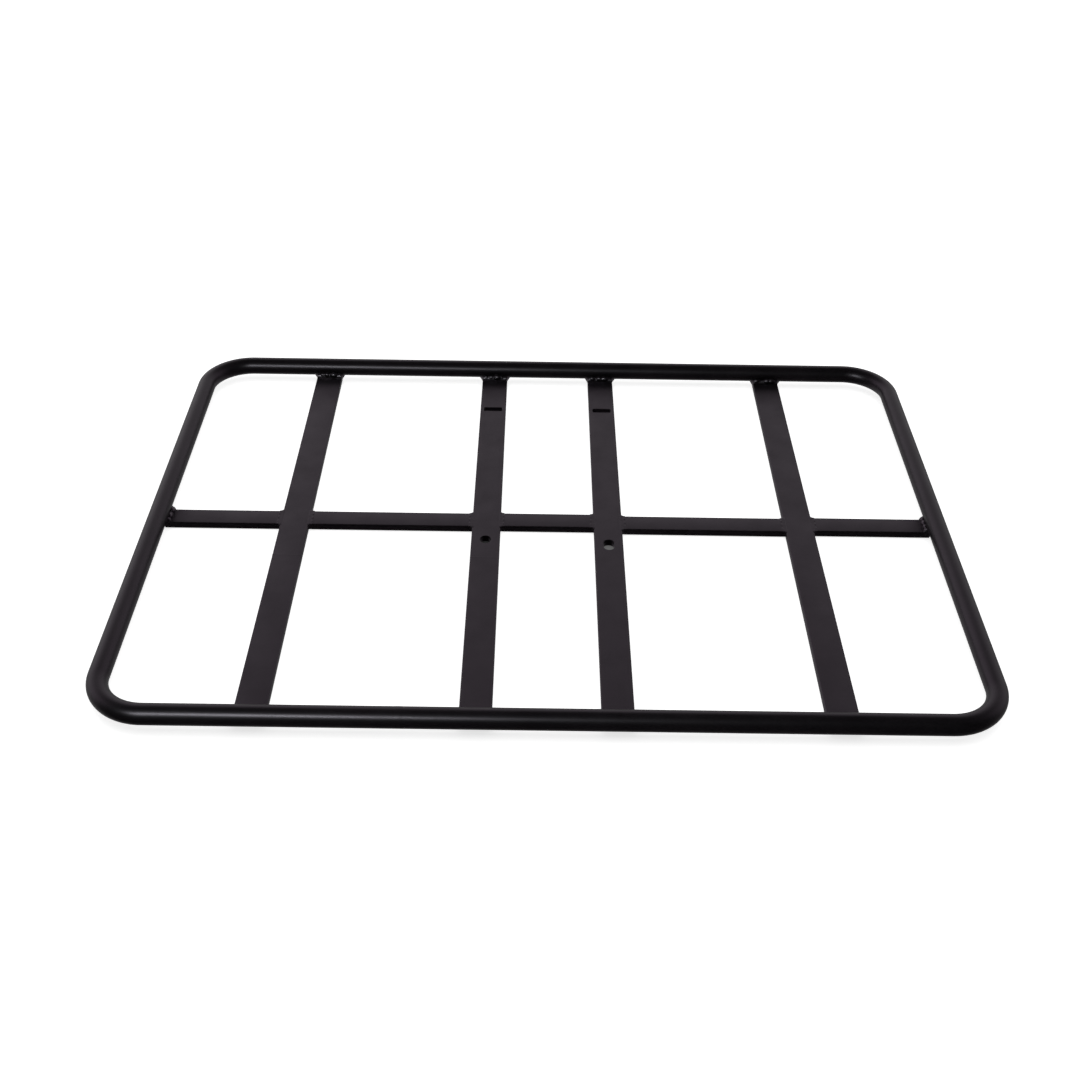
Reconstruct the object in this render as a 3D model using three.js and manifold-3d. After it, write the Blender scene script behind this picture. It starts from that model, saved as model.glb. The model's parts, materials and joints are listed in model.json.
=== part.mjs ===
// Luggage rack platform: a ring of round tube with four flat slats and a row of short crosspieces,
// all welded together. Millimetres, +Z up, +Y towards the back. The origin is the middle of the
// footprint, on the plane that the rack lies on: the slats' undersides.
import * as THREE from 'three';
import * as BufferGeometryUtils from 'three/addons/utils/BufferGeometryUtils.js';
import Module from 'manifold-3d';

const wasm = await Module();
wasm.setup();

// ---- driving dimensions -------------------------------------------------------------------
const INCH = 25.4;

const rackWidth = 21 * INCH;                 // over the ring, left to right
const rackDepth = 16 * INCH;                 // over the ring, front to back
const tubeDiameter = INCH / 2;
const tubeWall = 1.65;
const bendRadius = 1.25 * INCH;              // to the middle of the tube
const ringLift = 4;                          // height of the tube's underside above the slats'
const ringJointX = -83.7;                    // where the tube's two ends meet, in the front run
const ringJointGap = 2.4;
const jointWeldRise = 0.3;

const barThickness = INCH * 3 / 16;
const barEdgeRadius = 0.6;
const slatWidth = INCH * 3 / 4;
const slatX = [-170.2, -41.4, 40.4, 169.4];  // middle of each slat, from the left
const crosspieceWidth = INCH * 5 / 8;
const crosspieceY = 2.6;
const crosspieceShift = [-0.1, 0.1, 0.7, -0.8, 0.3];   // how far each one is off the common line

const spliceY = -39.3;                       // where the two left slats are pieced together
const rootGap = 1.6;                         // space between two ends that a weld fills

const boltSlotWidth = 7;
const boltSlotLength = { left: 7.9, right: 10.8 };
const boltSlotEndRadius = 3.4;
const boltSlotY = { left: -19.4, right: -23.5 };
const strapSlotWidth = 13.5;
const strapSlotDepth = 4.8;
const strapSlotCornerRadius = 1;
const strapSlotY = 146.1;

const fit = 0.3;                             // clearance that keeps neighbouring solids apart
const weldLeg = { ring: 4.8, slat: 2.4 };    // how far a weld runs out along the bar
const weldFlare = { ring: 2.6, slat: 1.5 };  // how far it spreads beside the bar, at the wall
const weldRise = { ring: 3, slat: 0.5 };     // how far it climbs above the bar, at the wall
const weldRoot = 1.4;                        // how far it reaches in past the wall
const weldToeRise = 0.25;                    // its height above the bar at the far end
const weldFloorGap = { ring: 1.2, slat: 0.4 };

const tubeSides = 24;
const bendSteps = 9;
const filletSteps = 5;

// ---- values that follow from them ---------------------------------------------------------
const tubeRadius = tubeDiameter / 2;
const ringX = rackWidth / 2 - tubeRadius;    // half size of the ring's centre line
const ringY = rackDepth / 2 - tubeRadius;
const ringZ = ringLift + tubeRadius;
const tubeFlankAtBarTop = Math.sqrt(tubeRadius ** 2 - (ringZ - barThickness) ** 2);
const slatEndY = ringY - tubeFlankAtBarTop - fit;
const ringInnerX = ringX - tubeFlankAtBarTop - fit;

// ---- materials ----------------------------------------------------------------------------
function paint(roughness) {
  return new THREE.MeshStandardMaterial({ color: 0x1d1b1d, metalness: 0, roughness });
}

// ---- solids -------------------------------------------------------------------------------
function solidOf(geometry) {
  const bare = geometry.index ? geometry.toNonIndexed() : geometry.clone();
  bare.deleteAttribute('normal');
  bare.deleteAttribute('uv');
  const merged = BufferGeometryUtils.mergeVertices(bare, 1e-4);
  return new wasm.Manifold(new wasm.Mesh({
    numProp: 3,
    vertProperties: new Float32Array(merged.attributes.position.array),
    triVerts: new Uint32Array(merged.index.array),
  }));
}

function geometryOf(solid) {
  const { vertProperties, triVerts } = solid.getMesh();
  const geometry = new THREE.BufferGeometry();
  geometry.setAttribute('position', new THREE.BufferAttribute(vertProperties, 3));
  geometry.setIndex(new THREE.BufferAttribute(triVerts, 1));
  geometry.computeVertexNormals();
  return geometry;
}

function boxSolid([x0, y0, z0], [x1, y1, z1]) {
  const geometry = new THREE.BoxGeometry(x1 - x0, y1 - y0, z1 - z0);
  geometry.translate((x0 + x1) / 2, (y0 + y1) / 2, (z0 + z1) / 2);
  return solidOf(geometry);
}

// ---- ring ---------------------------------------------------------------------------------
// The centre line starts and ends beside the joint in the front run and goes round anticlockwise.
// It has one step for each straight run and bendSteps for each corner.
class RingPath extends THREE.Curve {
  constructor() {
    super();
    this.stations = [];
    const straightX = ringX - bendRadius;
    const straightY = ringY - bendRadius;
    const corners = [[1, -1], [1, 1], [-1, 1], [-1, -1]];
    this.addStation(ringJointX + ringJointGap / 2, -ringY, 0);
    corners.forEach(([sideX, sideY], corner) => {
      for (let step = 0; step <= bendSteps; step += 1) {
        const turn = (corner + step / bendSteps) * Math.PI / 2;
        this.addStation(
          sideX * straightX + bendRadius * Math.sin(turn),
          sideY * straightY - bendRadius * Math.cos(turn),
          turn,
        );
      }
    });
    this.addStation(ringJointX - ringJointGap / 2, -ringY, 0);
  }

  addStation(x, y, turn) {
    this.stations.push({
      point: new THREE.Vector3(x, y, 0),
      tangent: new THREE.Vector3(Math.cos(turn), Math.sin(turn), 0),
    });
  }

  station(u) {
    return this.stations[Math.round(u * (this.stations.length - 1))];
  }

  getPointAt(u, target = new THREE.Vector3()) {
    return target.copy(this.station(u).point);
  }

  getTangentAt(u, target = new THREE.Vector3()) {
    return target.copy(this.station(u).tangent);
  }
}

function ringTube() {
  const section = new THREE.Shape();
  section.absarc(0, 0, tubeRadius, 0, 2 * Math.PI);
  const bore = new THREE.Path();
  bore.absarc(0, 0, tubeRadius - tubeWall, 0, 2 * Math.PI);
  section.holes.push(bore);
  const path = new RingPath();
  const geometry = new THREE.ExtrudeGeometry(section, {
    steps: path.stations.length - 1,
    curveSegments: tubeSides / 2,
    extrudePath: path,
  });
  return geometryOf(solidOf(geometry));
}

// A band that fills the joint. It stands slightly proud of the tube, except in front and below,
// where it is ground flush.
function ringJointWeld() {
  const half = ringJointGap / 2 - fit;
  const bore = tubeRadius - tubeWall;
  const profile = [[bore, -half], [tubeRadius, -half], [tubeRadius + jointWeldRise, 0],
    [tubeRadius, half], [bore, half], [bore, -half]];
  const geometry = new THREE.LatheGeometry(
    profile.map(([radius, along]) => new THREE.Vector2(radius, along)),
    tubeSides,
  );
  geometry.rotateZ(-Math.PI / 2);
  const flush = boxSolid([-half, -tubeRadius, -tubeRadius], [half, tubeDiameter, tubeDiameter]);
  return geometryOf(solidOf(geometry).intersect(flush));
}

// ---- flat bars ----------------------------------------------------------------------------
// A flat bar along Y with slightly rounded long edges, lying on z = 0 and centred on x = 0.
function flatBar(width, y0, y1) {
  const half = width / 2 - barEdgeRadius;
  const top = barThickness - barEdgeRadius;
  const section = new THREE.Shape();
  section.absarc(half, barEdgeRadius, barEdgeRadius, -Math.PI / 2, 0);
  section.absarc(half, top, barEdgeRadius, 0, Math.PI / 2);
  section.absarc(-half, top, barEdgeRadius, Math.PI / 2, Math.PI);
  section.absarc(-half, barEdgeRadius, barEdgeRadius, Math.PI, 1.5 * Math.PI);
  const geometry = new THREE.ExtrudeGeometry(section, {
    depth: y1 - y0, bevelEnabled: false, curveSegments: 3,
  });
  geometry.rotateX(Math.PI / 2);
  geometry.translate(0, y1, 0);
  return solidOf(geometry);
}

// An upright cutter with a rounded rectangular outline.
function slotCutter(width, depth, y, cornerRadius) {
  const outline = new THREE.Shape();
  const halfX = width / 2 - cornerRadius;
  const halfY = depth / 2 - cornerRadius;
  outline.absarc(halfX, -halfY, cornerRadius, -Math.PI / 2, 0);
  outline.absarc(halfX, halfY, cornerRadius, 0, Math.PI / 2);
  outline.absarc(-halfX, halfY, cornerRadius, Math.PI / 2, Math.PI);
  outline.absarc(-halfX, -halfY, cornerRadius, Math.PI, 1.5 * Math.PI);
  const geometry = new THREE.ExtrudeGeometry(outline, {
    depth: barThickness + 2, bevelEnabled: false, curveSegments: 6,
  });
  geometry.translate(0, y, -1);
  return solidOf(geometry);
}

function innerSlat(side, y0, y1) {
  const boltSlot = slotCutter(
    boltSlotWidth, boltSlotLength[side], boltSlotY[side], boltSlotEndRadius,
  );
  const strapSlot = slotCutter(strapSlotWidth, strapSlotDepth, strapSlotY, strapSlotCornerRadius);
  return flatBar(slatWidth, y0, y1).subtract(boltSlot).subtract(strapSlot);
}

// The thin slice of weld, ground flush, between the two lengths of a pieced slat.
function spliceWeld() {
  const half = rootGap / 2 - fit;
  return flatBar(slatWidth, spliceY - half, spliceY + half);
}

// ---- welds --------------------------------------------------------------------------------
// Made at a bar's end, with the bar running out along +Y from its wall. wallY is where the weld
// meets the wall, barY where the bar starts, and wall is the solid that the weld is cut back from.
function collarWeld(kind, width, wallY, barY, wall) {
  const toeY = wallY + weldLeg[kind];
  const plan = new THREE.Shape();
  plan.moveTo(-width / 2 - weldFlare[kind], wallY - weldRoot);
  plan.lineTo(width / 2 + weldFlare[kind], wallY - weldRoot);
  for (const side of [1, -1]) {
    for (let step = 0; step <= filletSteps; step += 1) {
      const along = (side > 0 ? step : filletSteps - step) / filletSteps;
      const flare = weldFlare[kind] * (1 - Math.sqrt(1 - (1 - along) ** 2)) + fit + weldToeRise;
      plan.lineTo(side * (width / 2 + flare), wallY + along * weldLeg[kind]);
    }
  }
  plan.closePath();
  const upright = new THREE.ExtrudeGeometry(plan, {
    depth: tubeDiameter, bevelEnabled: false,
  });
  upright.translate(0, 0, weldFloorGap[kind]);

  const side = new THREE.Shape();
  side.moveTo(wallY - weldRoot, 0);
  side.lineTo(toeY, 0);
  for (let step = filletSteps; step >= 0; step -= 1) {
    const along = step / filletSteps;
    const rise = fit + weldToeRise + (weldRise[kind] - weldToeRise) * Math.cos(along * Math.PI / 2);
    side.lineTo(wallY + along * weldLeg[kind], barThickness + rise);
  }
  side.lineTo(wallY - weldRoot, barThickness + fit + weldRise[kind]);
  side.closePath();
  const across = new THREE.ExtrudeGeometry(side, { depth: 2 * width + 20, bevelEnabled: false });
  across.translate(0, 0, -width - 10);
  across.rotateX(Math.PI / 2);
  across.rotateZ(Math.PI / 2);

  const bar = boxSolid(
    [-width / 2 - fit, barY - fit, -1],
    [width / 2 + fit, toeY + 10, barThickness + fit],
  );
  return solidOf(upright).intersect(solidOf(across)).subtract(bar).subtract(wall);
}

// Against the ring: the wall is the round tube, lying along X at y = 0.
function ringWeld(width) {
  const tube = new THREE.CylinderGeometry(tubeRadius + fit, tubeRadius + fit, 4 * width, tubeSides);
  tube.rotateZ(Math.PI / 2);
  tube.translate(0, 0, ringZ);
  return collarWeld('ring', width, tubeFlankAtBarTop, tubeFlankAtBarTop + fit, solidOf(tube));
}

// Against a slat: the wall is the slat's upright edge, at y = 0.
function slatWeld(width) {
  const slat = boxSolid([-2 * width, -slatWidth, -1], [2 * width, fit, tubeDiameter + 2]);
  return collarWeld('slat', width, 0, rootGap, slat);
}

// ---- the assembly -------------------------------------------------------------------------
const rack = new THREE.Group();

function addPiece(name, geometry, roughness, x = 0, y = 0, z = 0, turn = 0) {
  const piece = new THREE.Mesh(geometry, paint(roughness));
  piece.name = name;
  piece.position.set(x, y, z);
  piece.rotation.z = turn;
  rack.add(piece);
}

function addRing() {
  const ring = new THREE.Group();
  ring.position.z = ringZ;
  const tube = new THREE.Mesh(ringTube(), paint(0.35));
  tube.name = 'ring_tube';
  const weld = new THREE.Mesh(ringJointWeld(), paint(0.4));
  weld.name = 'ring_joint_weld';
  weld.position.set(ringJointX, -ringY, 0);
  ring.add(tube, weld);
  rack.add(ring);
}

// The two slats on the left are each in two lengths, with the splice just in front of the middle.
function addSlats() {
  const outer = (y0, y1) => flatBar(slatWidth, y0, y1);
  const slats = [
    { name: 'left_outer_slat', make: outer, pieced: true },
    { name: 'left_inner_slat', make: (y0, y1) => innerSlat('left', y0, y1), pieced: true },
    { name: 'right_inner_slat', make: (y0, y1) => innerSlat('right', y0, y1) },
    { name: 'right_outer_slat', make: outer },
  ];
  slats.forEach(({ name, make, pieced }, index) => {
    const x = slatX[index];
    if (pieced) {
      addPiece(`${name}_rear`, geometryOf(make(spliceY + rootGap / 2, slatEndY)), 0.45, x);
      addPiece(`${name}_front`, geometryOf(outer(-slatEndY, spliceY - rootGap / 2)), 0.45, x);
      addPiece(`${name}_splice_weld`, geometryOf(spliceWeld()), 0.45, x);
    } else {
      addPiece(name, geometryOf(make(-slatEndY, slatEndY)), 0.45, x);
    }
    addPiece(`${name}_rear_weld`, geometryOf(ringWeld(slatWidth)), 0.4, x, ringY, 0, Math.PI);
    addPiece(`${name}_front_weld`, geometryOf(ringWeld(slatWidth)), 0.4, x, -ringY);
  });
}

// Each crosspiece spans from one wall to the next: ring, four slats, ring.
function addCrosspieces() {
  const names = ['left_end', 'left', 'middle', 'right', 'right_end'];
  names.forEach((place, index) => {
    const y = crosspieceY + crosspieceShift[index];
    const first = index === 0;
    const last = index === names.length - 1;
    const wall0 = first ? -ringX : slatX[index - 1] + slatWidth / 2;
    const wall1 = last ? ringX : slatX[index] - slatWidth / 2;
    const x0 = first ? -ringInnerX : wall0 + rootGap;
    const x1 = last ? ringInnerX : wall1 - rootGap;
    const bar = geometryOf(flatBar(crosspieceWidth, -x1, -x0));
    addPiece(`${place}_crosspiece`, bar, 0.45, 0, y, 0, Math.PI / 2);
    const weld = (atRing) => geometryOf(atRing ? ringWeld(crosspieceWidth) : slatWeld(crosspieceWidth));
    addPiece(`${place}_crosspiece_weld_a`, weld(first), 0.4, wall0, y, 0, -Math.PI / 2);
    addPiece(`${place}_crosspiece_weld_b`, weld(last), 0.4, wall1, y, 0, Math.PI / 2);
  });
}

addRing();
addSlats();
addCrosspieces();

export default rack;
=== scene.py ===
import json
import math

import bmesh
import bpy
from bpy.props import (
    FloatProperty, FloatVectorProperty, IntProperty, PointerProperty,
)
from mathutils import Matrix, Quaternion, Vector

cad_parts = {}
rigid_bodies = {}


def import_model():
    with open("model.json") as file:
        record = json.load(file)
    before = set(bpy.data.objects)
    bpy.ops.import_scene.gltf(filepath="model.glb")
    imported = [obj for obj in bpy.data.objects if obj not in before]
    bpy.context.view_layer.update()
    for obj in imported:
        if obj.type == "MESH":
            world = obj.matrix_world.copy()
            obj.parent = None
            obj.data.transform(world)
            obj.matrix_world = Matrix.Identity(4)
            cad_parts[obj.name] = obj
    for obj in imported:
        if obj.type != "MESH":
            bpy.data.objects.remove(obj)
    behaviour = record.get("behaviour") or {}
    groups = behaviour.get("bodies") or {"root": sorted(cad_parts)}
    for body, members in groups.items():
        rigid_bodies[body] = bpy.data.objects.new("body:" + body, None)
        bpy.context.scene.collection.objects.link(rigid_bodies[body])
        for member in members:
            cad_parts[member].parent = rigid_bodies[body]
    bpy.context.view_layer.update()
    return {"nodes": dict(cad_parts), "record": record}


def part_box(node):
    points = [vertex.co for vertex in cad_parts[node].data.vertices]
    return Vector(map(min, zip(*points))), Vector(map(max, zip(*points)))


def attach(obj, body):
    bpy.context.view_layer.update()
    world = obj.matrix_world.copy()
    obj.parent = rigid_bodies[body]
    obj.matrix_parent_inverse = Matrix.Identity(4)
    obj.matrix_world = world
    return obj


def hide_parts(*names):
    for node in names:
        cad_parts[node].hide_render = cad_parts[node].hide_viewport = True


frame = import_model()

bl_info = {
    "name": "Welded Luggage Rack",
    "version": (1, 0, 0),
    "blender": (4, 5, 0),
    "location": "View3D > Sidebar > Luggage Rack",
    "description": "Builds the finished surfaces of a powder-coated luggage rack",
    "category": "Object",
}

MM = 0.001

# ---- places taken from the frame ------------------------------------------------------------

RING_LOW, RING_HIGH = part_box("ring_tube")
TUBE_RADIUS = (RING_HIGH.z - RING_LOW.z) / 2
RING_X = RING_HIGH.x - TUBE_RADIUS
RING_Y = RING_HIGH.y - TUBE_RADIUS
RING_Z = RING_HIGH.z - TUBE_RADIUS
BAR_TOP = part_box("right_outer_slat")[1].z

CROSSPIECES = ("left_end", "left", "middle", "right", "right_end")
SLOTS = {
    o["name"]: (Vector(o["box_m"][0]) + Vector(o["box_m"][1])) / 2
    for o in frame["record"]["physics"]["openings"]
    if o["name"].endswith("_slot")
}

# Each lump of a weld bead: its place across the bar, from -1 at one edge to 1 at the other, and
# its size against an ordinary lump. Beads that aren't listed have three ordinary lumps.
BEAD_LUMPS = {
    "left_outer_slat_rear_weld": ((-0.62, 0.8), (-0.22, 0.95), (0.40, 1.2)),
    "left_inner_slat_rear_weld": ((-0.80, 0.7), (-0.35, 0.8), (0.22, 1.15), (0.62, 0.75)),
    "right_inner_slat_rear_weld": ((-0.72, 0.95), (-0.05, 1.05), (0.42, 1.1)),
    "right_outer_slat_rear_weld": ((-0.85, 0.85), (-0.30, 0.55), (0.18, 1.1), (0.55, 1.15)),
    "left_end_crosspiece_weld_a": ((-0.50, 1.1), (0.48, 1.15)),
    "right_end_crosspiece_weld_b": ((-0.62, 0.95), (0.02, 1.05), (0.62, 0.95)),
}
ORDINARY_LUMPS = ((-0.65, 0.9), (0.0, 1.0), (0.62, 0.95))

# How a bead is shaped where a bar meets the ring, and where it meets a slat's edge. Trim is taken
# off its spread, overlap carries it back over the wall, depth is the share of its reach that slopes,
# and lump size is set against an ordinary lump.
RING_BEAD = {"trim": 0.9 * MM, "overlap": 0.0, "depth": 0.45, "lump_size": 1.0}
SLAT_BEAD = {"trim": 0.4 * MM, "overlap": 1.5 * MM, "depth": 0.3, "lump_size": 0.35}
BEAD_LEVELS = 8
LUMP_SPAN = 0.85                # share of the bar's half width that the lumps' centres cover
LUMP_WIDTH = 0.31               # half width of an ordinary lump, against the bar's half width
LUMP_SETBACK = 0.62             # share of the slope that lies in front of a lump's centre
RING_LUMP_CLIMB = 0.6           # share of the rise at which a lump sits on a bead at the ring
SLAT_LUMP_SINK = 0.3 * MM       # how far below the bar's top a lump sits on a bead at a slat

# The ring's joint weld: how far it spreads along the tube, how high its middle stands, how deep its
# edges sink into the tube and how far it wanders. The splice welds have no wander.
JOINT_SPREAD, JOINT_CROWN, JOINT_SINK, JOINT_WOBBLE = 2.6 * MM, 0.07 * MM, 0.04 * MM, 0.12 * MM
JOINT_SIDES, JOINT_STEPS = 64, 12
SPLICE_SPREAD, SPLICE_CROWN, SPLICE_SINK = 1.5 * MM, 0.03 * MM, 0.08 * MM
SPLICE_STEPS, SPLICE_ARC_STEPS = 10, 6

# The coat on each kind of piece: its gloss level, the swing of its roughness and the heights of its
# orange peel and its grain.
COATS = {
    "tube_coat": (0.38, 0.02, 0.009 * MM, 0.004 * MM),
    "bar_coat": (0.66, 0.04, 0.008 * MM, 0.0016 * MM),
    "weld_coat": (0.85, 0.04, 0.012 * MM, 0.0015 * MM),
}

# The room that the coat reflects, as parts of a direction of length 1. Each pair is where a change
# in brightness starts and ends; SIDE_SHARE is the backdrop's brightness at the ends of SIDE.
HORIZON, CEILING, BACK, SIDE = (-0.10, 0.10), (0.76, 0.62), (-0.30, 0.25), (-0.8, 0.8)
SIDE_SHARE = (1.3, 0.8)
ROOM_SEEN = 0.93                # brightness of the room as the camera sees it

# Where the lights stand and how big they are, in metres.
FILL_PLACE, FILL_SIZE = (0, 0.2, 2.6), (4.0, 4.0)
KEY_PLACE, KEY_SIZE = (-0.36, -0.79, 0.574), (0.4, 0.12)

# Painted shade: the floor's colour and glow are dimmed in a small patch under each bolt slot, down
# to this share of its light.
PAINTED_SLOT_SHADE = {"left": 0.02, "right": 0.11}
PAINTED_SHADE_INNER, PAINTED_SHADE_OUTER = 7 * MM, 8.5 * MM
FLOOR_DROP = 0.1 * MM           # keeps the floor off the slats' undersides


# ---- settings -------------------------------------------------------------------------------

class RackShapeSettings(bpy.types.PropertyGroup):
    """Sizes of the tube, bars and slots"""

    bend_radius: FloatProperty(
        name="Bend radius", description="Radius of the ring's corners, to the middle of the tube",
        default=31.75 * MM, unit="LENGTH")
    tube_wall: FloatProperty(
        name="Tube wall", description="Wall thickness of the ring's tube",
        default=1.65 * MM, unit="LENGTH")
    bend_steps: IntProperty(
        name="Bend steps", description="Segments in each corner of the ring", default=40)
    tube_sides: IntProperty(
        name="Tube sides", description="Segments round the tube", default=64)
    edge_radius: FloatProperty(
        name="Edge radius", description="Rounding of the slats' long edges",
        default=0.7 * MM, unit="LENGTH")
    crosspiece_edge_radius: FloatProperty(
        name="Crosspiece edge radius", description="Rounding of the crosspieces' long edges",
        default=1.1 * MM, unit="LENGTH")
    left_bolt_slot: FloatVectorProperty(
        name="Left bolt slot", description="Width, length and end radius of the left bolt slot",
        size=3, default=(7 * MM, 7.9 * MM, 3.4 * MM), unit="LENGTH")
    right_bolt_slot: FloatVectorProperty(
        name="Right bolt slot", description="Width, length and end radius of the right bolt slot",
        size=3, default=(7 * MM, 10.8 * MM, 3.4 * MM), unit="LENGTH")
    strap_slot: FloatVectorProperty(
        name="Strap slot", description="Width, length and corner radius of the strap slots",
        size=3, default=(13.5 * MM, 4.8 * MM, 1 * MM), unit="LENGTH")
    rim_radius: FloatProperty(
        name="Rim radius", description="Rounding of the slots' rims under the paint",
        default=0.35 * MM, unit="LENGTH")


class RackWeldSettings(bpy.types.PropertyGroup):
    """Sizes of the weld beads"""

    lump_height: FloatProperty(
        name="Lump height", description="Half height of an ordinary lump on a bead at the ring",
        default=2.0 * MM, unit="LENGTH")
    lump_depth: FloatProperty(
        name="Lump depth", description="Half depth of an ordinary lump, along the bar",
        default=1.9 * MM, unit="LENGTH")
    ring_rise: FloatProperty(
        name="Rise at the ring", description="How far a bead climbs the ring above the bar",
        default=3.0 * MM, unit="LENGTH")
    slat_rise: FloatProperty(
        name="Rise at a slat", description="How far a bead at a slat stands above the bar",
        default=0.14 * MM, unit="LENGTH")
    roughness: FloatProperty(
        name="Surface unevenness", description="Height of the unevenness on the beads",
        default=0.12 * MM, unit="LENGTH")
    grain: FloatProperty(
        name="Grain", description="Mesh size of the finished beads",
        default=0.3 * MM, unit="LENGTH")


class RackCoatSettings(bpy.types.PropertyGroup):
    """Colours and finish of the powder coat"""

    colour: FloatVectorProperty(
        name="Coat colour", description="Colour of the powder coat",
        size=3, default=(0.0030, 0.0027, 0.0030), subtype="COLOR")
    dusty_colour: FloatVectorProperty(
        name="Dusty colour", description="Colour of the coat where fine dust clings to it",
        size=3, default=(0.0062, 0.0056, 0.0062), subtype="COLOR")
    sheen: FloatVectorProperty(
        name="Sheen", description="Tint of the coat's gloss",
        size=3, default=(1.0, 0.74, 1.0), subtype="COLOR")
    tube_roughness: FloatProperty(
        name="Tube roughness", description="Roughness of the coat on the tube",
        default=0.36, subtype="FACTOR")
    bar_roughness: FloatProperty(
        name="Bar roughness", description="Roughness of the coat on the bars",
        default=0.47, subtype="FACTOR")
    weld_roughness: FloatProperty(
        name="Weld roughness", description="Roughness of the coat on the welds",
        default=0.36, subtype="FACTOR")


class RackStageSettings(bpy.types.PropertyGroup):
    """Floor, lights and camera"""

    floor_colour: FloatVectorProperty(
        name="Floor colour", description="Colour of the studio floor",
        size=3, default=(0.88, 0.88, 0.88), subtype="COLOR")
    floor_glow: FloatProperty(
        name="Floor glow", description="Light that the floor gives off itself", default=0.75)
    floor_size: FloatProperty(
        name="Floor size", description="Width of the studio floor", default=12.0, unit="LENGTH")
    camera_place: FloatVectorProperty(
        name="Camera place", description="Where the camera stands",
        size=3, default=(-0.009366, -0.793467, 0.576452), subtype="TRANSLATION")
    camera_aim: FloatVectorProperty(
        name="Camera aim", description="The point that the camera looks at",
        size=3, default=(-0.005263, -0.024785, 0.00876), subtype="TRANSLATION")
    camera_roll: FloatProperty(
        name="Camera roll", description="How far the camera leans",
        default=math.radians(0.994), subtype="ANGLE")
    lens: FloatProperty(
        name="Lens", description="Focal length of the camera, in millimetres", default=48.353)
    key_power: FloatProperty(
        name="Key power", description="Power of the low light beside the camera", default=6.0)
    key_colour: FloatVectorProperty(
        name="Key colour", description="Colour of the low light beside the camera",
        size=3, default=(0.76, 1.0, 0.82), subtype="COLOR")
    fill_power: FloatProperty(
        name="Fill power", description="Power of the broad light overhead", default=60.0)
    backdrop: FloatProperty(
        name="Backdrop", description="Brightness of the pale backdrop that the coat reflects",
        default=0.66)
    floor_share: FloatProperty(
        name="Floor share", description="How bright the coat sees the floor, against the backdrop",
        default=0.45)
    gloom: FloatProperty(
        name="Gloom", description="Brightness of the rest of the room that the coat reflects",
        default=0.01)


# ---- node helpers ---------------------------------------------------------------------------

def place(tree, kind, inputs=None, **settings):
    """Adds a node, sets it up and links or fills its inputs."""
    node = tree.nodes.new(kind)
    for name, value in settings.items():
        setattr(node, name, value)
    for key, value in (inputs or {}).items():
        if isinstance(value, bpy.types.NodeSocket):
            tree.links.new(value, node.inputs[key])
        else:
            node.inputs[key].default_value = value
    return node


def start_tree(name, kind, inputs, outputs):
    """Starts a node group; returns it with its input and output nodes."""
    tree = bpy.data.node_groups.new(name, kind)
    for side, sockets in (("INPUT", inputs), ("OUTPUT", outputs)):
        for label, socket_type in sockets:
            tree.interface.new_socket(label, in_out=side, socket_type=f"NodeSocket{socket_type}")
    return tree, tree.nodes.new("NodeGroupInput"), tree.nodes.new("NodeGroupOutput")


def start_geometry_tree(name, *inputs):
    """Starts a geometry node group that takes and gives geometry."""
    return start_tree(name, "GeometryNodeTree", (("Geometry", "Geometry"), *inputs),
                      (("Geometry", "Geometry"),))


def finish_geometry_tree(tree, given, result, geometry):
    """Ends a geometry node group in Realize Instances and Set Material."""
    realized = place(tree, "GeometryNodeRealizeInstances", {"Geometry": geometry})
    coated = place(tree, "GeometryNodeSetMaterial", {
        "Geometry": realized.outputs[0], "Material": given.outputs["Material"]})
    tree.links.new(coated.outputs[0], result.inputs[0])
    return tree


def math_node(tree, operation, *values):
    """A Math node's output."""
    return place(tree, "ShaderNodeMath", dict(enumerate(values)), operation=operation).outputs[0]


def apply_tree(piece, tree, **values):
    """Puts a geometry node group on a piece, with values for its named inputs."""
    modifier = piece.modifiers.new(tree.name, "NODES")
    modifier.node_group = tree
    for socket in tree.interface.items_tree:
        key = socket.name.lower().replace(" ", "_")
        if socket.in_out == "INPUT" and key in values:
            modifier[socket.identifier] = values[key]


def new_piece(name, points=(), edges=(), faces=()):
    """A piece whose mesh is made of the given points, edges and faces."""
    mesh = bpy.data.meshes.new(name)
    mesh.from_pydata([tuple(p) for p in points], edges, faces)
    piece = bpy.data.objects.new(name, mesh)
    bpy.context.scene.collection.objects.link(piece)
    return piece


def settle(piece, node, material, sharp_angle=50):
    """Turns a piece into a plain mesh that faces outwards, and hands it to the frame."""
    bpy.context.view_layer.update()
    evaluated = piece.evaluated_get(bpy.context.evaluated_depsgraph_get())
    mesh = bpy.data.meshes.new_from_object(evaluated)
    piece.modifiers.clear()
    piece.data = mesh
    shape = bmesh.new()
    shape.from_mesh(mesh)
    if shape.calc_volume(signed=True) < 0:
        bmesh.ops.reverse_faces(shape, faces=shape.faces)
    shape.to_mesh(mesh)
    shape.free()
    mesh.shade_smooth()
    mesh.set_sharp_from_angle(angle=math.radians(sharp_angle))
    mesh.materials.clear()
    mesh.materials.append(material)
    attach(piece, "root")
    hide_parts(node)


# ---- geometry node groups -------------------------------------------------------------------

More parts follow.
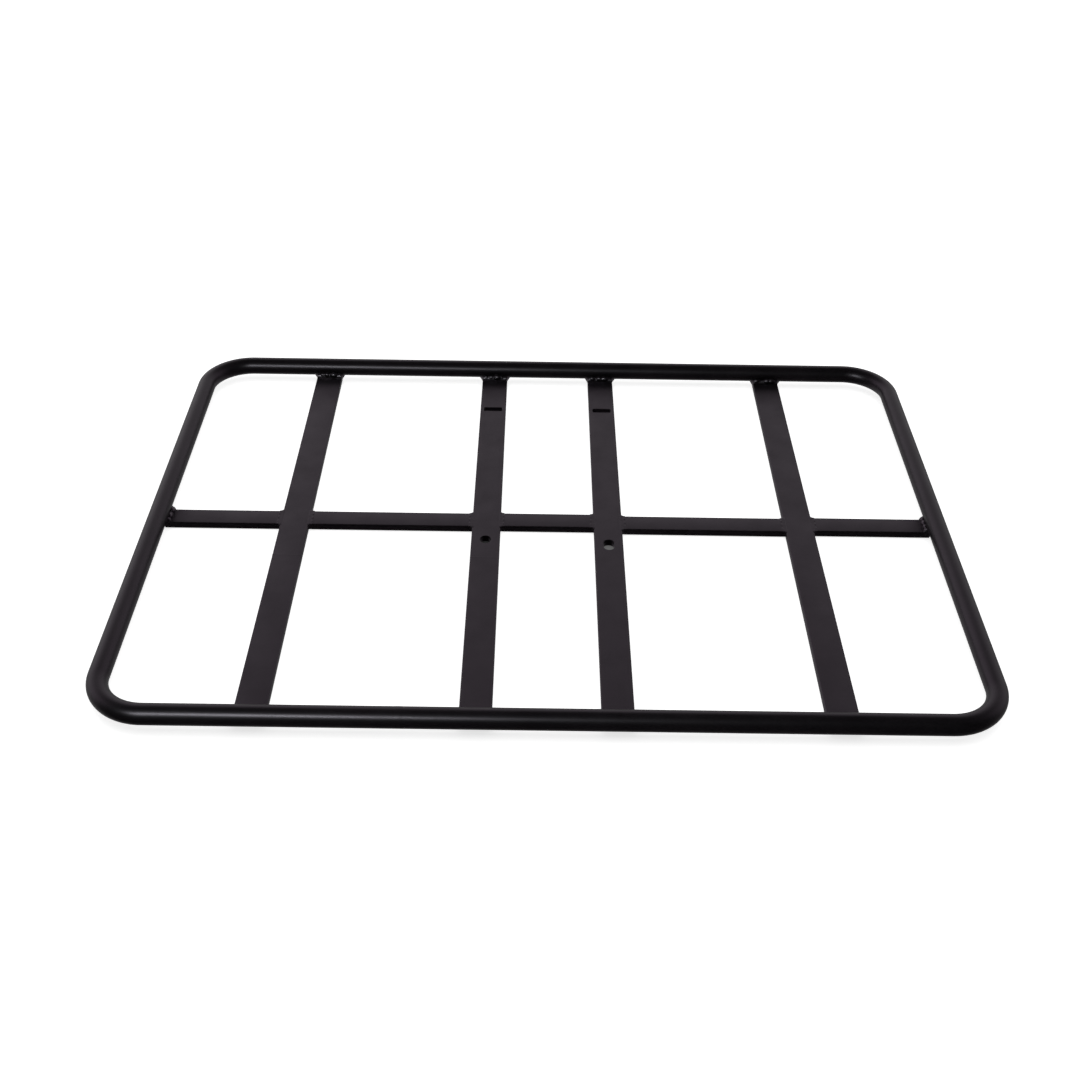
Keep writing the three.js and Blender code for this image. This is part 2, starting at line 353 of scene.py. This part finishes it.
def bent_tube_tree():
    """Sweeps a tube with a wall along a path of straight runs, with bends at its corners."""
    tree, given, result = start_geometry_tree(
        "Bent tube", ("Bend Radius", "Float"), ("Bend Steps", "Int"), ("Tube Radius", "Float"),
        ("Tube Sides", "Int"), ("Wall", "Float"), ("Material", "Material"))
    path = place(tree, "GeometryNodeMeshToCurve", {"Mesh": given.outputs["Geometry"]})
    bent = place(tree, "GeometryNodeFilletCurve", {
        "Curve": path.outputs[0], "Count": given.outputs["Bend Steps"],
        "Radius": given.outputs["Bend Radius"]}, mode="POLY")
    level = place(tree, "GeometryNodeSetCurveNormal", {"Curve": bent.outputs[0]}, mode="Z_UP")
    section = place(tree, "GeometryNodeCurvePrimitiveCircle", {
        "Resolution": given.outputs["Tube Sides"], "Radius": given.outputs["Tube Radius"]})
    outside = place(tree, "GeometryNodeCurveToMesh", {
        "Curve": level.outputs[0], "Profile Curve": section.outputs[0]})
    inward = math_node(tree, "MULTIPLY", given.outputs["Wall"], -1.0)
    bore = place(tree, "GeometryNodeExtrudeMesh", {
        "Mesh": outside.outputs[0], "Offset Scale": inward, "Individual": False}, mode="FACES")
    turned = place(tree, "GeometryNodeFlipFaces", {"Mesh": bore.outputs[0]})
    both = tree.nodes.new("GeometryNodeJoinGeometry")
    tree.links.new(outside.outputs[0], both.inputs[0])
    tree.links.new(turned.outputs[0], both.inputs[0])
    closed = place(tree, "GeometryNodeMergeByDistance", {
        "Geometry": both.outputs[0], "Distance": 0.01 * MM})
    smooth = place(tree, "GeometryNodeSetShadeSmooth", {"Geometry": closed.outputs[0]})
    return finish_geometry_tree(tree, given, result, smooth.outputs[0])


def rounded_outline(tree, width, height, radius, steps):
    """A rectangle's outline with rounded corners."""
    outline = place(tree, "GeometryNodeCurvePrimitiveQuadrilateral", {
        "Width": width, "Height": height}, mode="RECTANGLE")
    return place(tree, "GeometryNodeFilletCurve", {
        "Curve": outline.outputs[0], "Count": steps, "Radius": radius}, mode="POLY").outputs[0]


def flat_bar_tree():
    """Sweeps a flat bar with rounded long edges along a straight line."""
    tree, given, result = start_geometry_tree(
        "Flat bar", ("Width", "Float"), ("Thickness", "Float"), ("Edge Radius", "Float"),
        ("Material", "Material"))
    line = place(tree, "GeometryNodeMeshToCurve", {"Mesh": given.outputs["Geometry"]})
    level = place(tree, "GeometryNodeSetCurveNormal", {"Curve": line.outputs[0]}, mode="Z_UP")
    section = rounded_outline(tree, given.outputs["Width"], given.outputs["Thickness"],
                              given.outputs["Edge Radius"], 6)
    bar = place(tree, "GeometryNodeCurveToMesh", {
        "Curve": level.outputs[0], "Profile Curve": section, "Fill Caps": True})
    return finish_geometry_tree(tree, given, result, bar.outputs[0])


def slot_tree():
    """Cuts one upright slot with rounded corners through a bar."""
    tree, given, result = start_geometry_tree(
        "Slot", ("Centre", "Vector"), ("Width", "Float"), ("Length", "Float"),
        ("Corner Radius", "Float"), ("Material", "Material"))
    outline = rounded_outline(tree, given.outputs["Width"], given.outputs["Length"],
                              given.outputs["Corner Radius"], 10)
    floor = place(tree, "GeometryNodeFillCurve", {"Curve": outline}, mode="NGONS")
    sides = place(tree, "GeometryNodeExtrudeMesh", {
        "Mesh": floor.outputs[0], "Offset": (0, 0, 1), "Offset Scale": 30 * MM}, mode="FACES")
    turned = place(tree, "GeometryNodeFlipFaces", {"Mesh": floor.outputs[0]})
    both = tree.nodes.new("GeometryNodeJoinGeometry")
    tree.links.new(sides.outputs[0], both.inputs[0])
    tree.links.new(turned.outputs[0], both.inputs[0])
    closed = place(tree, "GeometryNodeMergeByDistance", {
        "Geometry": both.outputs[0], "Distance": 0.01 * MM})
    cutter = place(tree, "GeometryNodeTransform", {
        "Geometry": closed.outputs[0], "Translation": given.outputs["Centre"]})
    cut = place(tree, "GeometryNodeMeshBoolean", {
        "Mesh 1": given.outputs["Geometry"], "Mesh 2": cutter.outputs[0]},
        operation="DIFFERENCE", solver="EXACT")
    return finish_geometry_tree(tree, given, result, cut.outputs[0])


def bead_tree():
    """Heaps lumps on a weld's body, at the points that carry a lump size."""
    tree, given, result = start_geometry_tree("Weld bead", ("Material", "Material"))
    lump = place(tree, "GeometryNodeInputNamedAttribute", {"Name": "lump"},
                 data_type="FLOAT_VECTOR")
    size = place(tree, "ShaderNodeVectorMath", {0: lump.outputs["Attribute"]},
                 operation="LENGTH")
    is_lump = math_node(tree, "GREATER_THAN", size.outputs["Value"], 0.0)
    parts = place(tree, "GeometryNodeSeparateGeometry", {
        "Geometry": given.outputs["Geometry"], "Selection": is_lump}, domain="POINT")
    ball = place(tree, "GeometryNodeMeshIcoSphere", {"Radius": 1.0, "Subdivisions": 4})
    lumps = place(tree, "GeometryNodeInstanceOnPoints", {
        "Points": parts.outputs["Selection"], "Instance": ball.outputs[0],
        "Scale": lump.outputs["Attribute"]})
    heap = tree.nodes.new("GeometryNodeJoinGeometry")
    tree.links.new(parts.outputs["Inverted"], heap.inputs[0])
    tree.links.new(lumps.outputs[0], heap.inputs[0])
    return finish_geometry_tree(tree, given, result, heap.outputs[0])


def uneven_tree():
    """Pushes a fine mesh in and out by a noise, as on a weld that has cooled in ripples."""
    tree, given, result = start_geometry_tree(
        "Uneven surface", ("Height", "Float"), ("Material", "Material"))
    noise = place(tree, "ShaderNodeTexNoise", {"Scale": 520.0, "Detail": 2.0})
    middle = math_node(tree, "SUBTRACT", noise.outputs["Fac"], 0.5)
    height = math_node(tree, "MULTIPLY", middle, given.outputs["Height"])
    push = place(tree, "ShaderNodeVectorMath", {
        0: tree.nodes.new("GeometryNodeInputNormal").outputs[0], "Scale": height},
        operation="SCALE")
    moved = place(tree, "GeometryNodeSetPosition", {
        "Geometry": given.outputs["Geometry"], "Offset": push.outputs[0]})
    smooth = place(tree, "GeometryNodeSetShadeSmooth", {"Geometry": moved.outputs[0]})
    return finish_geometry_tree(tree, given, result, smooth.outputs[0])


# ---- materials ------------------------------------------------------------------------------

def powder_coat_group():
    """Height, dust and gloss variation of a powder coat, from a place on the object."""
    tree, given, result = start_tree(
        "Powder coat", "ShaderNodeTree",
        (("Peel Height", "Float"), ("Grain Height", "Float")),
        (("Height", "Float"), ("Dust", "Float"), ("Gloss", "Float")))
    place_on = tree.nodes.new("ShaderNodeTexCoord").outputs["Object"]

    def noise(scale, detail, sharpness=0.5):
        return place(tree, "ShaderNodeTexNoise", {
            "Vector": place_on, "Scale": scale, "Detail": detail,
            "Roughness": sharpness}).outputs["Fac"]

    peel = math_node(tree, "MULTIPLY", noise(700.0, 1.0), given.outputs["Peel Height"])
    grain = math_node(tree, "MULTIPLY", noise(2600.0, 2.0, 0.7), given.outputs["Grain Height"])
    tree.links.new(math_node(tree, "ADD", peel, grain), result.inputs["Height"])
    cloud = math_node(tree, "MULTIPLY", noise(28.0, 4.0, 0.6), noise(900.0, 3.0, 0.75))
    dust = place(tree, "ShaderNodeMapRange", {
        "Value": cloud, "From Min": 0.2, "From Max": 0.42})
    tree.links.new(dust.outputs[0], result.inputs["Dust"])
    gloss = place(tree, "ShaderNodeMapRange", {
        "Value": noise(60.0, 3.0), "From Min": 0.3, "From Max": 0.7,
        "To Min": -1.0, "To Max": 1.0})
    tree.links.new(gloss.outputs[0], result.inputs["Gloss"])
    return tree


def coat_material(name, group, roughness):
    """A black powder coat with its own gloss, roughness and texture."""
    coat = bpy.context.scene.rack_coat
    gloss, swing, peel_height, grain_height = COATS[name]
    material = bpy.data.materials.new(name)
    material.use_nodes = True
    tree = material.node_tree
    shader = tree.nodes["Principled BSDF"]
    shader.inputs["Specular Tint"].default_value = (*coat.sheen, 1.0)
    shader.inputs["Specular IOR Level"].default_value = gloss
    surface = place(tree, "ShaderNodeGroup", node_tree=group)
    surface.inputs["Peel Height"].default_value = peel_height
    surface.inputs["Grain Height"].default_value = grain_height
    colour = place(tree, "ShaderNodeMix", {
        "Factor": surface.outputs["Dust"], 6: (*coat.colour, 1.0),
        7: (*coat.dusty_colour, 1.0)}, data_type="RGBA")
    tree.links.new(colour.outputs[2], shader.inputs["Base Color"])
    uneven = math_node(tree, "MULTIPLY_ADD", surface.outputs["Gloss"], swing, roughness)
    tree.links.new(uneven, shader.inputs["Roughness"])
    bump = place(tree, "ShaderNodeBump", {
        "Strength": 1.0, "Distance": 1.0, "Height": surface.outputs["Height"]})
    tree.links.new(bump.outputs[0], shader.inputs["Normal"])


def materials():
    """The three coats, made once."""
    if "tube_coat" not in bpy.data.materials:
        coat = bpy.context.scene.rack_coat
        group = powder_coat_group()
        coat_material("tube_coat", group, coat.tube_roughness)
        coat_material("bar_coat", group, coat.bar_roughness)
        coat_material("weld_coat", group, coat.weld_roughness)
    return bpy.data.materials


def tree_called(name, maker):
    """A node group by name, made the first time that it is asked for."""
    return bpy.data.node_groups.get(name) or maker()


# ---- pieces ---------------------------------------------------------------------------------

def flat_bar(node, along, edge_radius, slots=()):
    """A flat bar that fills a CAD bar's box, along X or Y, with its slots cut."""
    low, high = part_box(node)
    middle = (low + high) / 2
    across = 1 - along
    ends = [middle.copy(), middle.copy()]
    ends[0][along], ends[1][along] = low[along], high[along]
    piece = new_piece(f"{node}_finished", ends, [(0, 1)])
    coat = materials()["bar_coat"]
    apply_tree(piece, tree_called("Flat bar", flat_bar_tree),
               width=high[across] - low[across], thickness=high.z - low.z,
               edge_radius=edge_radius, material=coat)
    for centre, (width, length, corner) in slots:
        apply_tree(piece, tree_called("Slot", slot_tree),
                   centre=(centre.x, centre.y, low.z - 10 * MM), width=width, length=length,
                   corner_radius=corner, material=coat)
    if slots:
        rim = piece.modifiers.new("Rims", "BEVEL")
        rim.width = bpy.context.scene.rack_shape.rim_radius
        rim.segments = 3
        rim.limit_method = "ANGLE"
        rim.angle_limit = math.radians(50)
    settle(piece, node, coat, 12)


def loft(name, loops):
    """A closed skin over a row of loops that have the same number of points."""
    count = len(loops[0])
    faces = []
    for row in range(len(loops) - 1):
        for i in range(count):
            j = (i + 1) % count
            a, b = row * count, (row + 1) * count
            faces.append((a + i, a + j, b + j, b + i))
    last = (len(loops) - 1) * count
    faces += [tuple(reversed(range(count))), tuple(range(last, last + count))]
    return new_piece(name, [p for loop in loops for p in loop], (), faces)


def bead_outline(half, spread, back, wall, toe, steps=8):
    """A bead's outline at one height: straight at its back and toe, hollow at its sides."""
    outline = [(half + spread, back), (half + spread, wall)]
    for step in range(1, steps + 1):
        share = step / steps
        hollow = 1 - math.sqrt(1 - (1 - share) ** 2)
        outline.append((half + spread * hollow, wall + (toe - wall) * share))
    return outline + [(-across, along) for across, along in reversed(outline)]


def weld_bead(node, bar, along, toe_side, at_ring):
    """A lumpy bead at a bar's end; toe_side says which way the bar runs from its wall."""
    weld = bpy.context.scene.rack_weld
    kind = RING_BEAD if at_ring else SLAT_BEAD
    rise = weld.ring_rise if at_ring else weld.slat_rise
    low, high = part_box(node)
    bar_low, bar_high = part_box(bar)
    across = 1 - along
    middle = (bar_low[across] + bar_high[across]) / 2
    half = (bar_high[across] - bar_low[across]) / 2
    spread = (high[across] - low[across]) / 2 - half - kind["trim"]
    reach = high[along] - low[along]
    slope = kind["depth"] * reach
    back = low[along] if toe_side > 0 else high[along]
    ring_depth = (RING_X if along == 0 else RING_Y) - abs(back)

    def spot(offset, out, height):
        point = Vector((0, 0, height))
        point[across], point[along] = middle + offset, back + toe_side * out
        return point

    loops = []
    levels = [low.z, BAR_TOP - 0.4 * MM]
    levels += [BAR_TOP + rise * step / BEAD_LEVELS for step in range(BEAD_LEVELS + 1)]
    for height in levels:
        climb = max(0.0, (height - BAR_TOP) / rise)
        grown = min(1.0, (height - low.z) / (BAR_TOP - low.z))
        toe = reach - slope * (1 - math.sqrt(max(0.0, 1 - climb * climb)))
        wall = 0.0
        if at_ring:
            above = RING_Z - max(height, BAR_TOP)
            wall = math.sqrt(max(0.0, TUBE_RADIUS ** 2 - above ** 2)) - ring_depth
        outline = bead_outline(half * (1 - 0.1 * climb), spread * grown * (1 - 0.6 * climb),
                               -kind["overlap"], wall, max(toe, wall + 0.1 * MM))
        loops.append([spot(offset, out, height) for offset, out in outline])
    piece = loft(f"{node}_finished", loops)

    shape = bmesh.new()
    shape.from_mesh(piece.data)
    lump_size = shape.verts.layers.float_vector.new("lump")
    lump_height = BAR_TOP + (RING_LUMP_CLIMB * rise if at_ring else -SLAT_LUMP_SINK)
    for place_across, size in BEAD_LUMPS.get(node, ORDINARY_LUMPS):
        share = size * kind["lump_size"]
        centre = spot(place_across * half * LUMP_SPAN, reach - slope * LUMP_SETBACK, lump_height)
        radii = Vector((0, 0, share * weld.lump_height))
        radii[across] = size * half * LUMP_WIDTH
        radii[along] = share * weld.lump_depth
        shape.verts.new(centre)[lump_size] = radii
    shape.to_mesh(piece.data)
    shape.free()

    coat = materials()["weld_coat" if at_ring else "bar_coat"]
    apply_tree(piece, tree_called("Weld bead", bead_tree), material=coat)
    fused = piece.modifiers.new("Fused", "REMESH")
    fused.mode = "VOXEL"
    fused.voxel_size = weld.grain
    flow = piece.modifiers.new("Flow", "SMOOTH")
    flow.factor, flow.iterations = 0.5, 3
    apply_tree(piece, tree_called("Uneven surface", uneven_tree), height=weld.roughness,
               material=coat)
    settle(piece, node, coat)


class RACK_OT_ring(bpy.types.Operator):
    """Bend the ring's tube"""
    bl_idname = "rack.ring"
    bl_label = "Ring tube"

    def execute(self, context):
        shape = context.scene.rack_shape
        joint_low, joint_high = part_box("ring_joint_weld")
        corners = ((joint_high.x, -RING_Y), (RING_X, -RING_Y), (RING_X, RING_Y),
                   (-RING_X, RING_Y), (-RING_X, -RING_Y), (joint_low.x, -RING_Y))
        piece = new_piece("ring_tube_finished", [(x, y, RING_Z) for x, y in corners],
                          [(i, i + 1) for i in range(5)])
        coat = materials()["tube_coat"]
        apply_tree(piece, tree_called("Bent tube", bent_tube_tree),
                   bend_radius=shape.bend_radius, bend_steps=shape.bend_steps,
                   tube_radius=TUBE_RADIUS, tube_sides=shape.tube_sides, wall=shape.tube_wall,
                   material=coat)
        settle(piece, "ring_tube", coat)
        return {"FINISHED"}


class RACK_OT_ring_joint(bpy.types.Operator):
    """Fill the ring's joint with a weld that is ground flush in front and below"""
    bl_idname = "rack.ring_joint"
    bl_label = "Ring joint weld"

    def execute(self, context):
        low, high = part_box("ring_joint_weld")
        middle = (low.x + high.x) / 2
        loops = []
        for step in range(JOINT_STEPS + 1):
            along = 2 * step / JOINT_STEPS - 1
            crown = JOINT_CROWN * (1 - along * along) - JOINT_SINK * along * along
            loop = []
            for side in range(JOINT_SIDES):
                turn = 2 * math.pi * side / JOINT_SIDES
                y, z = math.cos(turn), math.sin(turn)
                proud = max(0.0, min(1.0, 0.5 + 0.5 * (y + z)))
                radius = TUBE_RADIUS + (crown if crown < 0 else crown * proud)
                wobble = JOINT_WOBBLE * math.sin(3 * turn + 1)
                loop.append((middle + along * JOINT_SPREAD + wobble, -RING_Y + radius * y,
                             RING_Z + radius * z))
            loops.append(loop)
        settle(loft("ring_joint_weld_finished", loops), "ring_joint_weld",
               materials()["tube_coat"])
        return {"FINISHED"}


class RACK_OT_slats(bpy.types.Operator):
    """Make the slats, with the bolt and strap slots in the inner two"""
    bl_idname = "rack.slats"
    bl_label = "Slats"

    def execute(self, context):
        shape = context.scene.rack_shape
        slotted = {"left_inner_slat_rear": "left", "right_inner_slat": "right"}
        for node in frame["nodes"]:
            if "slat" in node and "weld" not in node:
                side = slotted.get(node)
                slots = side and ((SLOTS[f"{side}_bolt_slot"], getattr(shape, f"{side}_bolt_slot")),
                                  (SLOTS[f"{side}_strap_slot"], shape.strap_slot))
                flat_bar(node, 1, shape.edge_radius, slots or ())
        return {"FINISHED"}


class RACK_OT_crosspieces(bpy.types.Operator):
    """Make the row of short crosspieces"""
    bl_idname = "rack.crosspieces"
    bl_label = "Crosspieces"

    def execute(self, context):
        for name in CROSSPIECES:
            flat_bar(f"{name}_crosspiece", 0, context.scene.rack_shape.crosspiece_edge_radius)
        return {"FINISHED"}


class RACK_OT_splices(bpy.types.Operator):
    """Lay the ground splice welds across the two pieced slats"""
    bl_idname = "rack.splices"
    bl_label = "Splice welds"

    def execute(self, context):
        radius = context.scene.rack_shape.edge_radius
        for slat in ("left_outer_slat", "left_inner_slat"):
            node = f"{slat}_splice_weld"
            low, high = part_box(node)
            middle = (low + high) / 2
            half_x = (high.x - low.x) / 2 - radius
            half_z = (high.z - low.z) / 2 - radius
            loops = []
            for step in range(SPLICE_STEPS + 1):
                along = 2 * step / SPLICE_STEPS - 1
                grow = SPLICE_CROWN * (1 - along * along) - SPLICE_SINK * along * along
                loop = []
                for corner, (sx, sz) in enumerate(((1, 1), (-1, 1), (-1, -1), (1, -1))):
                    upright = radius + (min(grow, 0.0) if sz < 0 else grow)
                    for i in range(SPLICE_ARC_STEPS + 1):
                        turn = math.pi / 2 * (corner + i / SPLICE_ARC_STEPS)
                        loop.append((
                            middle.x + sx * half_x + (radius + grow) * math.cos(turn),
                            middle.y + along * SPLICE_SPREAD,
                            middle.z + sz * half_z + upright * math.sin(turn)))
                loops.append(loop)
            settle(loft(f"{node}_finished", loops), node, materials()["bar_coat"])
        return {"FINISHED"}


class RACK_OT_welds(bpy.types.Operator):
    """Lay the weld beads at the ends of the slats and crosspieces"""
    bl_idname = "rack.welds"
    bl_label = "Weld beads"

    def execute(self, context):
        for slat in ("left_outer_slat", "left_inner_slat", "right_inner_slat", "right_outer_slat"):
            for end, toe_side in (("rear", -1), ("front", 1)):
                bar = slat if slat in frame["nodes"] else f"{slat}_{end}"
                weld_bead(f"{slat}_{end}_weld", bar, 1, toe_side, True)
        for name in CROSSPIECES:
            for end, toe_side, at_ring in (("a", 1, name == "left_end"),
                                           ("b", -1, name == "right_end")):
                weld_bead(f"{name}_crosspiece_weld_{end}", f"{name}_crosspiece", 0, toe_side,
                          at_ring)
        return {"FINISHED"}


# ---- stage ----------------------------------------------------------------------------------

def floor_material(colour, glow):
    """A pale floor that glows, with painted shade in a dim patch under each bolt slot, and clear
    from below.
    """
    material = bpy.data.materials.new("studio_floor")
    material.use_nodes = True
    tree = material.node_tree
    shader = tree.nodes["Principled BSDF"]
    shader.inputs["Roughness"].default_value = 0.9
    shader.inputs["Emission Color"].default_value = (1, 1, 1, 1)
    where = tree.nodes.new("ShaderNodeTexCoord")
    lit = 1.0
    # Painted shade: darkens the floor's colour and glow round each bolt slot.
    for side, least in PAINTED_SLOT_SHADE.items():
        away = place(tree, "ShaderNodeVectorMath", {
            0: where.outputs["Object"], 1: (*SLOTS[f"{side}_bolt_slot"].xy, 0.0)},
            operation="DISTANCE")
        share = place(tree, "ShaderNodeMapRange", {
            "Value": away.outputs["Value"], "From Min": PAINTED_SHADE_INNER,
            "From Max": PAINTED_SHADE_OUTER, "To Min": least})
        lit = math_node(tree, "MULTIPLY", share.outputs[0], lit)
    tree.links.new(math_node(tree, "MULTIPLY", lit, glow), shader.inputs["Emission Strength"])
    noise = place(tree, "ShaderNodeTexNoise", {
        "Vector": where.outputs["Object"], "Scale": 3.0, "Detail": 3.0})
    tone = place(tree, "ShaderNodeMix", {
        "Factor": noise.outputs["Fac"], 6: (*colour, 1.0),
        7: (*(0.97 * c for c in colour), 1.0)}, data_type="RGBA")
    dimmed = place(tree, "ShaderNodeVectorMath", {0: tone.outputs[2], "Scale": lit},
                   operation="SCALE")
    tree.links.new(dimmed.outputs[0], shader.inputs["Base Color"])
    facing = tree.nodes.new("ShaderNodeNewGeometry").outputs["Backfacing"]
    clear = tree.nodes.new("ShaderNodeBsdfTransparent")
    one_sided = place(tree, "ShaderNodeMixShader", {
        0: facing, 1: shader.outputs[0], 2: clear.outputs[0]})
    tree.links.new(one_sided.outputs[0], tree.nodes["Material Output"].inputs["Surface"])
    return material


def room_world(backdrop, floor_share, gloom):
    """A room with a pale backdrop behind, brighter on the left, and dark elsewhere."""
    world = bpy.data.worlds.new("studio_room")
    world.use_nodes = True
    tree = world.node_tree
    where = tree.nodes.new("ShaderNodeTexCoord")
    axes = place(tree, "ShaderNodeSeparateXYZ", {0: where.outputs["Generated"]})

    def ramp(value, low, high):
        return place(tree, "ShaderNodeMapRange", {
            "Value": value, "From Min": low, "From Max": high},
            interpolation_type="SMOOTHSTEP").outputs[0]

    above_floor = place(tree, "ShaderNodeMapRange", {
        "Value": ramp(axes.outputs["Z"], *HORIZON), "To Min": floor_share}).outputs[0]
    below_ceiling = ramp(axes.outputs["Z"], *CEILING)
    behind = ramp(axes.outputs["Y"], *BACK)
    share = place(tree, "ShaderNodeMapRange", {
        "Value": axes.outputs["X"], "From Min": SIDE[0], "From Max": SIDE[1],
        "To Min": SIDE_SHARE[0], "To Max": SIDE_SHARE[1]}).outputs[0]
    for factor in (above_floor, below_ceiling, behind):
        share = math_node(tree, "MULTIPLY", share, factor)
    light = place(tree, "ShaderNodeMapRange", {
        "Value": share, "To Min": gloom, "To Max": backdrop}, clamp=False).outputs[0]
    seen = tree.nodes.new("ShaderNodeLightPath").outputs["Is Camera Ray"]
    strength = place(tree, "ShaderNodeMix", {0: seen, 2: light, 3: ROOM_SEEN}, data_type="FLOAT")
    tree.links.new(strength.outputs[0], tree.nodes["Background"].inputs["Strength"])
    tree.nodes["Background"].inputs["Color"].default_value = (1.0, 1.0, 1.0, 1.0)
    return world


def area_light(name, at, size, power, glossy):
    """An oblong light aimed at the rack, seen only in the coat's gloss or only by matt surfaces."""
    data = bpy.data.lights.new(name, "AREA")
    data.shape = "RECTANGLE"
    data.size, data.size_y = size
    data.energy = power
    light = bpy.data.objects.new(name, data)
    light.location = at
    light.rotation_mode = "QUATERNION"
    light.rotation_quaternion = (-Vector(at)).to_track_quat("-Z", "Y")
    light.visible_glossy = glossy
    light.visible_diffuse = not glossy
    light.visible_camera = False
    bpy.context.scene.collection.objects.link(light)
    return light


class RACK_OT_stage(bpy.types.Operator):
    """Set up the floor, the room, the lights and the camera"""
    bl_idname = "rack.stage"
    bl_label = "Stage"

    def execute(self, context):
        scene = context.scene
        stage = scene.rack_stage
        half = stage.floor_size / 2
        corners = ((-half, -half), (half, -half), (half, half), (-half, half))
        floor = new_piece("studio_floor", [(x, y, -FLOOR_DROP) for x, y in corners],
                          (), [(0, 1, 2, 3)])
        floor.data.materials.append(floor_material(stage.floor_colour, stage.floor_glow))
        floor.visible_glossy = False
        scene.world = room_world(stage.backdrop, stage.floor_share, stage.gloom)
        scene.view_settings.view_transform = "Standard"

        area_light("overhead_fill", FILL_PLACE, FILL_SIZE, stage.fill_power, False)
        key = area_light("key", KEY_PLACE, KEY_SIZE, stage.key_power, True)
        key.data.color = stage.key_colour
        key_lit = bpy.data.collections.new("lit_by_the_key")
        for piece in list(scene.collection.objects):
            if piece.active_material and piece.active_material.name in ("tube_coat", "weld_coat"):
                key_lit.objects.link(piece)
        key.light_linking.receiver_collection = key_lit

        data = bpy.data.cameras.new("camera")
        data.lens, data.sensor_width = stage.lens, 36.0
        data.clip_start, data.clip_end = 0.01, 100.0
        camera = bpy.data.objects.new("camera", data)
        camera.location = stage.camera_place
        look = Vector(stage.camera_aim) - Vector(stage.camera_place)
        camera.rotation_mode = "QUATERNION"
        camera.rotation_quaternion = (
            look.to_track_quat("-Z", "Y") @ Quaternion((0, 0, 1), stage.camera_roll))
        scene.collection.objects.link(camera)
        scene.camera = camera
        return {"FINISHED"}


class RACK_PT_panel(bpy.types.Panel):
    """Lists the settings and the steps of the rack"""
    bl_idname = "RACK_PT_panel"
    bl_label = "Luggage Rack"
    bl_space_type = "VIEW_3D"
    bl_region_type = "UI"
    bl_category = "Luggage Rack"

    def draw(self, context):
        for name in SETTINGS:
            box = self.layout.box()
            group = getattr(context.scene, name)
            for prop in group.bl_rna.properties:
                if prop.identifier not in ("rna_type", "name"):
                    box.prop(group, prop.identifier)
        for operator in OPERATORS:
            self.layout.operator(operator.bl_idname)


SETTINGS = {
    "rack_shape": RackShapeSettings,
    "rack_weld": RackWeldSettings,
    "rack_coat": RackCoatSettings,
    "rack_stage": RackStageSettings,
}
OPERATORS = (RACK_OT_ring, RACK_OT_ring_joint, RACK_OT_slats, RACK_OT_crosspieces,
             RACK_OT_splices, RACK_OT_welds, RACK_OT_stage)


def register():
    """Registers the settings, the operators and the panel."""
    for name, group in SETTINGS.items():
        bpy.utils.register_class(group)
        setattr(bpy.types.Scene, name, PointerProperty(type=group))
    for operator in OPERATORS:
        bpy.utils.register_class(operator)
    bpy.utils.register_class(RACK_PT_panel)


def unregister():
    """Takes them away again."""
    bpy.utils.unregister_class(RACK_PT_panel)
    for operator in reversed(OPERATORS):
        bpy.utils.unregister_class(operator)
    for name, group in SETTINGS.items():
        delattr(bpy.types.Scene, name)
        bpy.utils.unregister_class(group)


def main():
    """Builds every piece and the stage."""
    register()
    bpy.ops.rack.ring()
    bpy.ops.rack.ring_joint()
    bpy.ops.rack.slats()
    bpy.ops.rack.crosspieces()
    bpy.ops.rack.splices()
    bpy.ops.rack.welds()
    bpy.ops.rack.stage()


if __name__ == "__main__":
    main()
